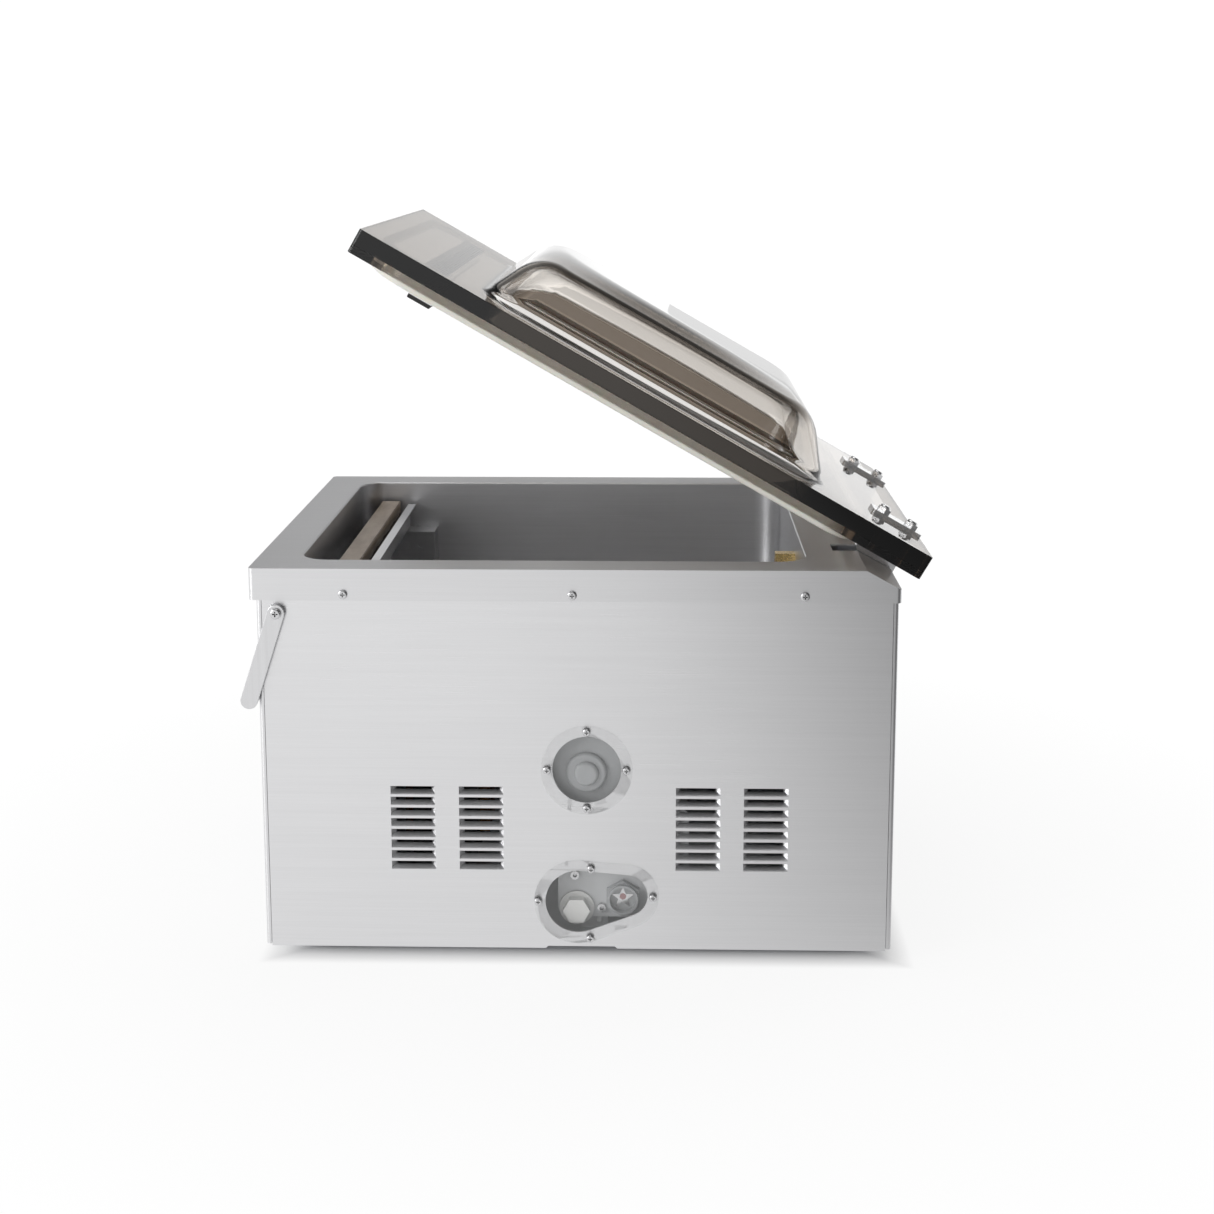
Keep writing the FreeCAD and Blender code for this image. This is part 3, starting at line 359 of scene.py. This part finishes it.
finish = {
    steel_x: ("front_panel", "rear_panel", "seal_carrier"),
    steel_y: ("side_panel_left", "side_panel_right"),
    steel_deck: ("chamber_deck",),
    steel_tub: ("chamber_tub", "bar_brackets"),
    screw_steel: ("flange_screws", "window_screws", "cover_screws", "bail_pivots"),
    polished: ("gauge_cup", "inlet_pins", "oil_eye_star", "hinge_shafts",
               "bail_rod", "hinge_arms", "clamp_plates", "lid_bolts"),
    lever_steel: ("bail_levers",),
    zinc: ("base_pan", "foot_bolts", "hinge_brackets"),
    brass: ("suction_port", "vent_valve"),
    rubber: ("feet", "counter_pad"),
    hose_rubber: ("suction_hose",),
    black_plastic: ("switch_case", "switch_rocker", "power_inlet", "motor_cowl", "terminal_box"),
    grey_plastic: ("exhaust_filter", "oil_eye_bezel"),
    pale_plastic: ("oil_plug",),
    pump_paint: ("pump_body",),
    motor_paint: ("pump_motor",),
    board: ("control_board",),
    copper: ("transformer_coil",),
    core_iron: ("transformer_core",),
    aluminium: ("lift_cylinders", "counter_holder"),
    phenolic: ("seal_bar",),
    steel_bar: ("heating_strip",),
    dial_white: ("gauge_dial",),
    needle_black: ("gauge_needle",),
    overlay: ("control_overlay",),
    key_plastic: ("key_1", "key_2", "key_3", "key_4"),
    display: ("display_window",),
    acrylic: ("lid",),
    window: ("sight_windows", "gauge_lens", "oil_eye_glass"),
    silicone: ("lid_gasket",),
    ptfe: ("seal_tape",),
}
for material, names in finish.items():
    for name in names:
        for holder in nodes[name].material_slots:
            holder.material = material


# --- pieces made here ----------------------------------------------------------
def new_piece(name, bm, material, body, slot, *stands_for):
    """Turns a bmesh into a named piece that rides on a CAD body."""
    bmesh.ops.recalc_face_normals(bm, faces=bm.faces)
    mesh = bpy.data.meshes.new(name)
    bm.to_mesh(mesh)
    bm.free()
    mesh.materials.append(material)
    obj = bpy.data.objects.new(name, mesh)
    bpy.context.collection.objects.link(obj)
    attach(obj, body)
    if stands_for:
        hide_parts(*stands_for)
    return obj


def smooth_all(obj, angle):
    """Smooth shading that stays crisp where faces meet at more than angle degrees."""
    bm = bmesh.new()
    bm.from_mesh(obj.data)
    for face in bm.faces:
        face.smooth = True
    for edge in bm.edges:
        if len(edge.link_faces) == 2:
            edge.smooth = edge.calc_face_angle(0.0) < math.radians(angle)
    bm.to_mesh(obj.data)
    bm.free()
    weighted = obj.modifiers.new("weighted_normals", "WEIGHTED_NORMAL")
    weighted.keep_sharp = True
    weighted.weight = 80


def loft(rings, closed=False):
    """Skins rings of equally many points; closed joins the last ring to the first."""
    bm = bmesh.new()
    rows = [[bm.verts.new(point) for point in ring] for ring in rings]
    pairs = list(zip(rows, rows[1:]))
    if closed:
        pairs.append((rows[-1], rows[0]))
    else:
        bm.faces.new(rows[0])
        bm.faces.new(rows[-1])
    for first, second in pairs:
        for n in range(len(first)):
            m = (n + 1) % len(first)
            bm.faces.new((first[n], first[m], second[m], second[n]))
    return bm


def outline(half, front, rear, corner, t, long_steps=30, round_steps=10):
    """Rounded rectangle in the lid's plane, always with equally many points."""
    corner = max(corner, 0.0002)
    points = []
    centres = ((half - corner, front + corner, -90), (half - corner, rear - corner, 0),
               (corner - half, rear - corner, 90), (corner - half, front + corner, 180))
    for k, (x, u, start) in enumerate(centres):
        for n in range(round_steps):
            a = math.radians(start + 90 * n / round_steps)
            points.append((x + corner * math.cos(a), u + corner * math.sin(a)))
        end_a = math.radians(start + 90)
        here = (x + corner * math.cos(end_a), u + corner * math.sin(end_a))
        nx, nu, _ = centres[(k + 1) % 4]
        there = (nx + corner * math.cos(end_a), nu + corner * math.sin(end_a))
        for n in range(long_steps):
            share = n / long_steps
            points.append((here[0] + (there[0] - here[0]) * share, here[1] + (there[1] - here[1]) * share))
    return [lid_at(x, u, t) for x, u in points]


def grown(shape, by):
    half, front, rear, corner = shape
    return half + by, front - by, rear + by, corner + by


def dome_shape(t, inset, radius, top):
    """Outline of the dome at height t: tapered wall below, round shoulder above."""
    foot, crest = grown(DOME_FOOT, -inset), grown(DOME_TOP, -inset)
    share = (t - LID_T) / (top - LID_T)
    sizes = []
    for n, way in ((0, 1), (1, -1), (2, 1)):
        run = (foot[n] - crest[n]) * way
        taper = math.atan2(run, top - LID_T)
        wall = foot[n] - way * run * share
        centre = crest[n] - way * radius * math.tan((math.pi / 2 - taper) / 2)
        over = t - (top - radius)
        if over > radius * math.sin(taper):
            wall = centre + way * math.sqrt(max(0.0, radius * radius - over * over))
        sizes.append(wall)
    wall_half = foot[0] - (foot[0] - crest[0]) * share
    corner = foot[3] + (crest[3] - foot[3]) * share - (wall_half - sizes[0])
    return (*sizes, corner)


def dome_rings(inset, radius, top, start, shoulder_rings=24, step_degrees=3.2, wall_rings=4):
    """Rings from the middle of the dome's top, over its shoulder and down its wall to start."""
    half, front, rear, corner = dome_shape(top, inset, radius, top)
    middle = (front + rear) / 2
    rings = []
    for share in (0.10, 0.30, 0.50, 0.70, 0.85, 0.95):
        rings.append(outline(half * share, middle + (front - middle) * share,
                             middle + (rear - middle) * share, corner * share, top))
    heights = [top - radius * (1 - math.cos(math.radians(step_degrees * n)))
               for n in range(shoulder_rings + 1)]
    low = heights[-1]
    heights += [low + (start - low) * n / wall_rings for n in range(1, wall_rings + 1)]
    return rings + [outline(*dome_shape(t, inset, radius, top), t) for t in heights]


def lid_rings():
    """The lid as one skin: dome, plate, edge, gasket groove and hollow, back to the dome's middle."""
    plate = (LID_HALF, 0.0, LID_LONG, LID_CORNER)
    top = LID_T + DOME_H
    rings = dome_rings(0.0, DOME_R, top, LID_T + FOOT_R)
    foot = dome_shape(LID_T + FOOT_R, 0.0, DOME_R, top)
    for n in range(1, 9):
        a = math.radians(90 * n / 8)
        rings.append(outline(*grown(foot, FOOT_R * (1 - math.cos(a))), LID_T + FOOT_R * (1 - math.sin(a))))
    for n in range(4):
        a = math.radians(30 * n)
        rings.append(outline(*grown(plate, EDGE_R * (math.sin(a) - 1)), LID_T - EDGE_R * (1 - math.cos(a))))
    for n in range(4):
        a = math.radians(30 * n)
        rings.append(outline(*grown(plate, EDGE_R * (math.cos(a) - 1)), EDGE_R * (1 - math.sin(a))))
    seal = (SEAL_HALF + HAIR, SEAL_U[0] - HAIR, SEAL_U[1] + HAIR, SEAL_CORNER)
    inner = grown(seal, -SEAL_WIDE - 2 * HAIR)
    for shape, t in ((seal, 0.0), (seal, GROOVE_T), (inner, GROOVE_T), (inner, 0.0)):
        rings.append(outline(*shape, t))
    mouth = grown(DOME_FOOT, -DOME_WALL)
    for n in range(7):
        a = math.radians(15 * n)
        rings.append(outline(*grown(mouth, LIP_R * (1 - math.sin(a))), LIP_R * (1 - math.cos(a))))
    rings.append(outline(*mouth, LID_T))
    rings += reversed(dome_rings(DOME_WALL, DOME_R - DOME_WALL, top - DOME_WALL, LID_T + 0.0005))
    return rings


lid_shell = new_piece("lid_shell", loft(lid_rings()), acrylic, "lid", "smoked_acrylic", "lid")
smooth_all(lid_shell, 40)

# gasket: a tongue held in the groove and a soft half-round lip under the lid, as (half width, t)
LIP = ((0.0042, 0.0064), (0.0044, 0.0030), (0.0044, 0.0002), (0.0043, -0.0012), (0.0040, -0.0026),
       (0.0033, -0.0041), (0.0022, -0.0052), (0.0, -0.0058))
profile = list(LIP) + [(-w, t) for w, t in reversed(LIP[:-1])]
seal_middle = grown((SEAL_HALF, *SEAL_U, SEAL_CORNER), -SEAL_WIDE / 2)
gasket = new_piece("gasket_lip", loft([outline(*grown(seal_middle, w), t) for w, t in profile], closed=True),
                   silicone, "lid", "silicone_clear", "lid_gasket")
smooth_all(gasket, 50)
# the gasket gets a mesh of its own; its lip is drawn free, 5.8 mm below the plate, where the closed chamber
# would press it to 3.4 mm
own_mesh(gasket)


def tape_over_bar(steps=140, skin=0.0004):
    """Coated cloth folded over the top of the sealing bar, slightly rippled and with wavy hems."""
    low, high = (Vector(corner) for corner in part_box("seal_tape"))
    middle, half = (low.y + high.y) / 2, (high.y - low.y) / 2 - HAIR - skin / 2
    top = high.z - skin / 2 - HAIR
    section = [(-half, low.z), (-half, low.z + 0.006), (-half, top - 0.0010), (-half + 0.0004, top - 0.0003)]
    section += [(-half + 0.0012 + (half - 0.0012) * n / 8, top) for n in range(8)]
    section += [(0.0, top)] + [(-y, z) for y, z in reversed(section)]
    bm = bmesh.new()
    rows = []
    for n in range(steps + 1):
        share = n / steps
        x = low.x + (high.x - low.x) * share
        ease = min(1.0, share * 40, (1 - share) * 40)    # the waves die out at both ends
        wave = 0.0006 * math.sin(37 * share + 1.3) + 0.0004 * math.sin(91 * share)
        row = []
        for k, (y, z) in enumerate(section):
            hem = wave if k in (0, len(section) - 1) else 0.0
            ripple = 0.00008 * math.sin(53 * share + 0.8 * k) * math.sin(17 * share) * ease
            row.append(bm.verts.new((x, middle + y, z + hem * ease - abs(ripple))))
        rows.append(row)
    for first, second in zip(rows, rows[1:]):
        for k in range(len(section) - 1):
            bm.faces.new((first[k], first[k + 1], second[k + 1], second[k]))
    obj = new_piece("tape_cover", bm, ptfe, "sealing_bar", "ptfe_cloth", "seal_tape")
    for face in obj.data.polygons:
        face.use_smooth = True
    thick = obj.modifiers.new("thickness", "SOLIDIFY")
    thick.thickness = skin / 2
    thick.offset = 0.0


tape_over_bar()


# Printed and moulded details of the front are thin solids, drawn as outlines in (x, z).
INK = 0.00012                                  # thickness of a print


def plates(name, outlines, front, depth, material, body, slot):
    """Thin flat solids standing proud of a face that looks towards -Y."""
    bm = bmesh.new()
    for shape in outlines:
        near = [bm.verts.new((x, front, z)) for x, z in shape]
        far = [bm.verts.new((x, front + depth, z)) for x, z in shape]
        bm.faces.new(near)
        bm.faces.new(list(reversed(far)))
        for n in range(len(shape)):
            m = (n + 1) % len(shape)
            bm.faces.new((near[m], near[n], far[n], far[m]))
    return new_piece(name, bm, material, body, slot)


def bar_shape(start, end, width, taper=0.0):
    """Flat bar from one point to another, its ends cut to a point when taper is given."""
    (x0, z0), (x1, z1) = start, end
    length = math.hypot(x1 - x0, z1 - z0)
    ex, ez = (x1 - x0) / length, (z1 - z0) / length
    nx, nz, w = -ez, ex, width / 2
    near, far = (x0 + ex * taper, z0 + ez * taper), (x1 - ex * taper, z1 - ez * taper)
    shape = [(near[0] + nx * w, near[1] + nz * w), (near[0] - nx * w, near[1] - nz * w),
             (far[0] - nx * w, far[1] - nz * w), (far[0] + nx * w, far[1] + nz * w)]
    if taper:
        shape.insert(1, (x0, z0))
        shape.insert(4, (x1, z1))
    return shape


def on_circle(centre, radius, degrees):
    a = math.radians(degrees)
    return centre[0] + radius * math.cos(a), centre[1] + radius * math.sin(a)


def arc_shape(centre, radius, width, start, end, steps):
    turns = [start + (end - start) * n / steps for n in range(steps + 1)]
    outer = [on_circle(centre, radius + width / 2, turn) for turn in turns]
    return outer + [on_circle(centre, radius - width / 2, turn) for turn in reversed(turns)]


def segments_of_ring(centre, radius, width, parts=4):
    return [arc_shape(centre, radius, width, 360 * n / parts, 360 * (n + 1) / parts, 10) for n in range(parts)]


def face_of(node):
    """Centre in (x, z), half width and front of a node that faces -Y."""
    low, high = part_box(node)
    return ((low[0] + high[0]) / 2, (low[2] + high[2]) / 2), (high[0] - low[0]) / 2, low[1]


# ticks of the dial: one in so many, inner end as a share of the radius, width
TICKS = ((10, 0.74, 0.0009), (5, 0.80, 0.0005), (1, 0.84, 0.0003))


def dial_marks():
    """Forty divisions over 270 degrees, with an arc round their outer ends."""
    centre, radius, front = face_of("gauge_dial")
    marks = []
    for n in range(41):
        inner, width = next((inner, width) for every, inner, width in TICKS if n % every == 0)
        turn = 225 - 270 * n / 40
        marks.append(bar_shape(on_circle(centre, radius * inner, turn),
                               on_circle(centre, radius * 0.90, turn), width))
    marks.append(arc_shape(centre, radius * 0.905, 0.0003, -45, 225, 60))
    plates("dial_marks", marks, front - INK, INK, needle_black, "body", "needle_black")


def display_digits(half=0.0039, tall=0.0076, stroke=0.0016, pitch=0.0150, gap=0.0004):
    """Four unlit digits of seven segments; tall is the height of one of a digit's two loops."""
    (display_x, display_z), _, front = face_of("display_window")
    bars = []
    for n in range(4):
        x = display_x + (n - 1.5) * pitch
        for z in (display_z - tall, display_z, display_z + tall):
            bars.append(bar_shape((x - half, z), (x + half, z), stroke, stroke / 2))
        for side in (x - half, x + half):
            for z in (display_z - tall, display_z):
                bars.append(bar_shape((side, z + gap), (side, z + tall - gap), stroke, stroke / 2))
    plates("display_digits", bars, front - INK / 2, INK / 2, digit_red, "body", "display_dark")


def key_sign(number, centre, reach, stroke=0.0010, gap=0.0005):
    """Minus, plus, ring or square, by the key's number."""
    x, z = centre
    level = bar_shape((x - reach, z), (x + reach, z), stroke)
    above = bar_shape((x, z + gap), (x, z + reach), stroke)
    below = bar_shape((x, z - reach), (x, z - gap), stroke)
    square = bar_shape((x - reach * 0.8, z), (x + reach * 0.8, z), reach * 1.6)
    ring = segments_of_ring(centre, reach, 0.0009)
    return {1: [level], 2: [level, above, below], 3: ring, 4: [square]}[number]


def panel_print(line=0.0004, inset=0.0032, lamp_radius=0.0011):
    """Signs on the keys; on the film a ring and a lamp for each key, and a border."""
    shapes = []
    for number in (1, 2, 3, 4):
        centre, radius, front = face_of("key_%d" % number)
        shapes += segments_of_ring(centre, radius + 0.0020, line)
        lamp = (centre[0], centre[1] + radius + 0.0055)
        shapes.append([on_circle(lamp, lamp_radius, 30 * n) for n in range(12)])
        plates("key_sign_%d" % number, key_sign(number, centre, radius * 0.42), front - INK, INK,
               needle_black, "button_%d" % number, "needle_black")
    low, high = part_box("control_overlay")
    x0, x1, z0, z1 = low[0] + inset, high[0] - inset, low[2] + inset, high[2] - inset
    corners = [(x0, z0), (x1, z0), (x1, z1), (x0, z1)]
    shapes += [bar_shape(start, end, line) for start, end in zip(corners, corners[1:] + corners[:1])]
    plates("panel_print", shapes, low[1] - INK, INK, print_white, "body", "dial_white")


def oil_eye_spot():
    """Round reddish mark at the middle of the star in the oil eye, slightly domed."""
    low, high = (Vector(corner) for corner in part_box("oil_eye_star"))
    centre = ((low.y + high.y) / 2, low.z + (high.z - low.z) * 0.5 + 0.0002)
    rings = []
    for r, x in ((0.0029, 0.0), (0.0029, 0.00012), (0.0026, 0.00022), (0.0016, 0.00030), (0.0006, 0.00032)):
        rings.append([(high.x + x, *on_circle(centre, r, 15 * n)) for n in range(24)])
    smooth_all(new_piece("oil_eye_spot", loft(rings), spot_red, "body", "display_dark"), 40)


dial_marks()
display_digits()
panel_print()
oil_eye_spot()

# softened folds and cut edges
SOFT_EDGES = {"chamber_deck": 0.0012, "seal_carrier": 0.0004, "bar_brackets": 0.0005, "hinge_arms": 0.0006,
              "front_panel": 0.0004, "rear_panel": 0.0004, "switch_rocker": 0.0006, "pump_body": 0.0008,
              "oil_plug": 0.0008, "oil_eye_bezel": 0.0006, "suction_port": 0.0005, "counter_holder": 0.0004}
for name, width in SOFT_EDGES.items():
    soften = nodes[name].modifiers.new("soft_edges", "BEVEL")
    soften.width = width
    soften.segments = 3
    soften.limit_method = "ANGLE"
    soften.angle_limit = math.radians(35)
    soften.harden_normals = True


# --- floor, studio, lights and camera -----------------------------------------
WHITE = 1.03                                   # level of the plain backdrop that the camera sees
CABINET_HALF = (("X", 0.211), ("Y", 0.279))

floor_mesh = bpy.data.meshes.new("floor")
sheet = bmesh.new()
bmesh.ops.create_grid(sheet, x_segments=1, y_segments=1, size=30.0)
sheet.to_mesh(floor_mesh)
sheet.free()
floor = bpy.data.objects.new("floor", floor_mesh)
bpy.context.collection.objects.link(floor)
fs = Shader("floor", Roughness=0.7)
fs.colour(fs.noise(3.0), (0.89, 0.89, 0.89), (0.91, 0.91, 0.91))
spot = fs.place()
place = fs.split(spot)
# in reflections brighter on the operator's side, falling off towards the rear right of the studio
falloff = fs.ramp(fs.remap(place["Y"], 0.0, 1.0, -0.6, 0.8),
                  [(0.0, 0.95), (0.40, 0.90), (0.53, 0.75), (0.66, 0.56), (0.75, 0.32), (1.0, 0.15)])
lit = fs.blend(fs.remap(place["X"], 0.0, 1.0, -0.1, 0.3), 0.95, falloff)
glow = fs.add("ShaderNodeEmission")
seen = fs.add("ShaderNodeLightPath").outputs["Is Camera Ray"]
fs.feed(fs.blend(seen, lit, WHITE), glow.inputs["Strength"])
# less glow near the cabinet and none under it, so that it stands in its own shadow
beyond = [fs.math("DIVIDE", fs.math("ABSOLUTE", place[axis]), half) for axis, half in CABINET_HALF]
open_floor = fs.remap(fs.math("MAXIMUM", *beyond), 0.0, 1.0, 0.88, 1.04)
reach = fs.vector_math("LENGTH", spot).outputs["Value"]
glowing = fs.math("MULTIPLY", fs.remap(reach, 0.86, 1.0, 0.30, 1.0), open_floor)
fs.feed(fs.blend_shaders(glowing, fs.bsdf.outputs["BSDF"], glow.outputs["Emission"]), fs.out.inputs["Surface"])
floor_mesh.materials.append(fs.mat)

# studio seen by reflections: bright sweep behind the machine, darker room in front of it
world = bpy.data.worlds.new("studio")
bpy.context.scene.world = world
world.use_nodes = True
sky = Graph(world.node_tree)
view = sky.split(sky.add("ShaderNodeTexCoord").outputs["Generated"])


def level_by(axis, start, end, stops):
    return sky.ramp(sky.remap(view[axis], 0.0, 1.0, start, end), stops)


# by height, from straight down (0) over the horizon (0.5) to straight up (1)
behind = level_by("Z", -1.0, 1.0, ((0.0, 0.85), (0.44, 0.9), (0.5, 0.88), (0.53, 0.62), (0.57, 0.54),
                                   (0.61, 0.46), (0.66, 0.28), (0.74, 0.10), (1.0, 0.04)))
rise = level_by("Z", -1.0, 1.0, ((0.0, 1.0), (0.55, 1.0), (0.65, 0.75), (0.75, 0.45), (1.0, 0.20)))
sweep = level_by("Y", -0.4, 0.5,
                 ((0.0, 0.68), (0.40, 0.64), (0.49, 0.52), (0.57, 0.39), (0.64, 0.20), (1.0, 0.07)))
side = level_by("X", -0.35, 0.35, ((0.0, 0.0), (1.0, 1.0)))
room = sky.add("ShaderNodeBackground")
room.inputs["Strength"].default_value = 1.5
sky.feed(sky.blend(side, behind, sky.math("MULTIPLY", rise, sweep)), room.inputs["Color"])
plain = sky.tree.nodes["Background"]
plain.inputs["Color"].default_value = (1.0, 1.0, 1.0, 1.0)
plain.inputs["Strength"].default_value = WHITE
seen = sky.add("ShaderNodeLightPath").outputs["Is Camera Ray"]
shown = sky.blend_shaders(seen, room.outputs["Background"], plain.outputs["Background"])
sky.feed(shown, sky.tree.nodes["World Output"].inputs["Surface"])


def area_light(name, at, aim, side_length, watts):
    data = bpy.data.lights.new(name, "AREA")
    data.shape = "RECTANGLE"
    data.size = data.size_y = side_length
    data.energy = watts
    light = bpy.data.objects.new(name, data)
    bpy.context.collection.objects.link(light)
    light.location = at
    light.rotation_euler = (Vector(aim) - Vector(at)).to_track_quat("-Z", "Y").to_euler()


area_light("key", (1.9, -2.4, 1.2), (0.2, 0, 0.25), 1.6, 34.0)
area_light("top", (-0.3, 0.1, 3.0), (0, 0, 0.3), 2.2, 24.0)

bpy.context.scene.view_settings.view_transform = "Standard"

CAMERA_AT = (1.70175, 0.05664, 0.71889)
YAW, PITCH, ROLL = 0.02481, 0.1581, -0.00114    # radians, from looking level along -X
camera_data = bpy.data.cameras.new("camera")
camera = bpy.data.objects.new("camera", camera_data)
bpy.context.collection.objects.link(camera)
bpy.context.scene.camera = camera
camera_data.lens = 53.135
camera_data.sensor_width = 36.0
camera_data.shift_y = -0.15
camera_data.clip_start = 0.05
camera_data.clip_end = 100.0
camera.location = CAMERA_AT
turn = Matrix.Rotation(YAW, 3, "Z")
right, up, ahead = turn @ Vector((0, 1, 0)), turn @ Vector((0, 0, 1)), turn @ Vector((-1, 0, 0))
up, ahead = (math.cos(PITCH) * up + math.sin(PITCH) * ahead,
             math.cos(PITCH) * ahead - math.sin(PITCH) * up)
right, up = (math.cos(ROLL) * right + math.sin(ROLL) * up,
             math.cos(ROLL) * up - math.sin(ROLL) * right)
camera.rotation_euler = Matrix((right, up, -ahead)).transposed().to_euler()
